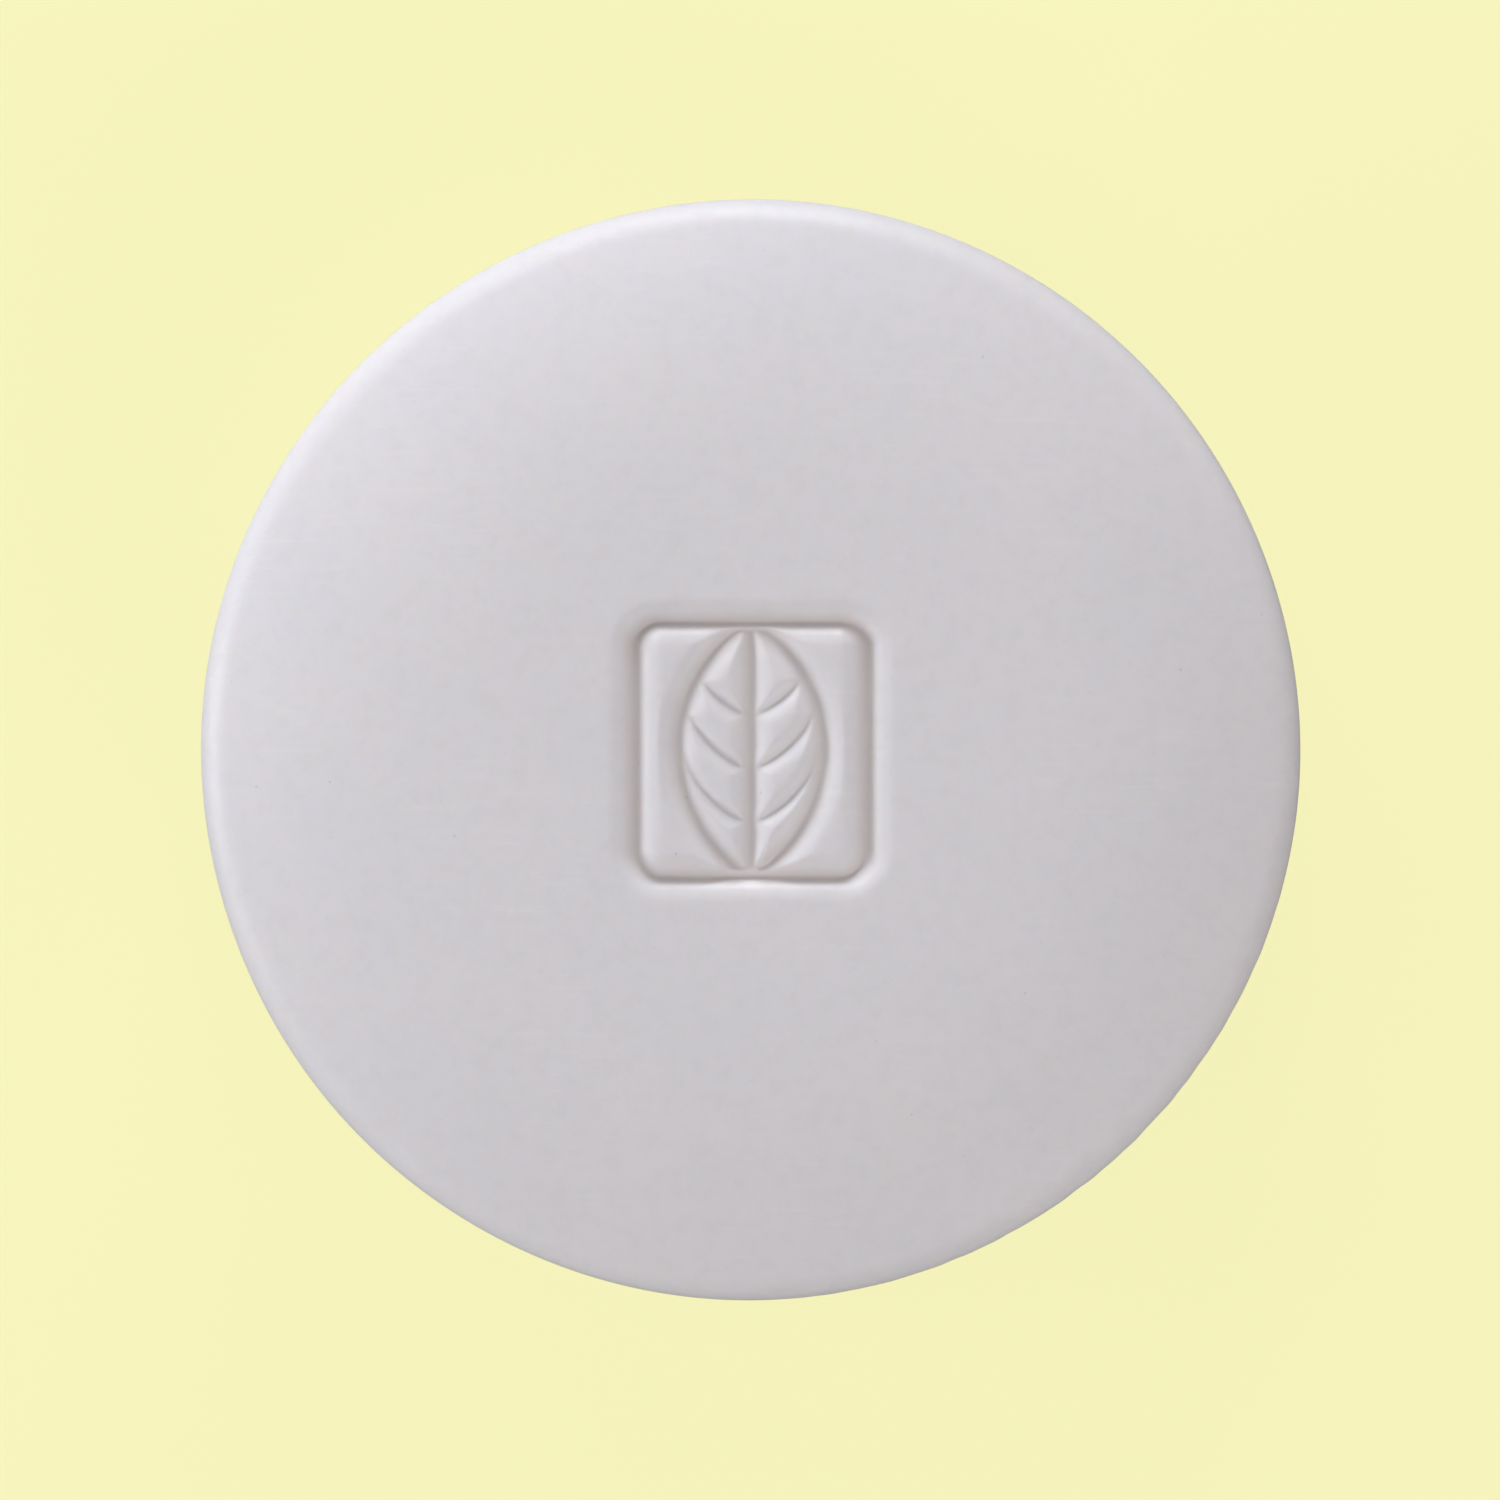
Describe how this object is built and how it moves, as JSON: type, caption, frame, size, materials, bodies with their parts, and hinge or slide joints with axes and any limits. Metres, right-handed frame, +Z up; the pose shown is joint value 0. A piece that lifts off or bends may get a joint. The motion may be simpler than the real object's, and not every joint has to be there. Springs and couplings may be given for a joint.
{
  "type": "shaving soap puck",
  "caption": "Round cake of pressed shaving soap with a gently domed face, softened edges, a straight wall, a flat underside and a shallow leaf stamp in a rounded rectangular border.",
  "frame": {"origin": "middle of the flat underside, on the axis of the round wall", "axes": "+Z up out of the stamped face along the wall's axis, +Y towards the tip of the stamped leaf, +X to the right seen from above"},
  "size_m": [0.068, 0.068, 0.026],
  "materials": {
    "soap": "matte, faintly waxy, off-white with a cool cast"
  },
  "bodies": {
    "root": {"soap_puck": "soap"}
  },
  "joints": []
}
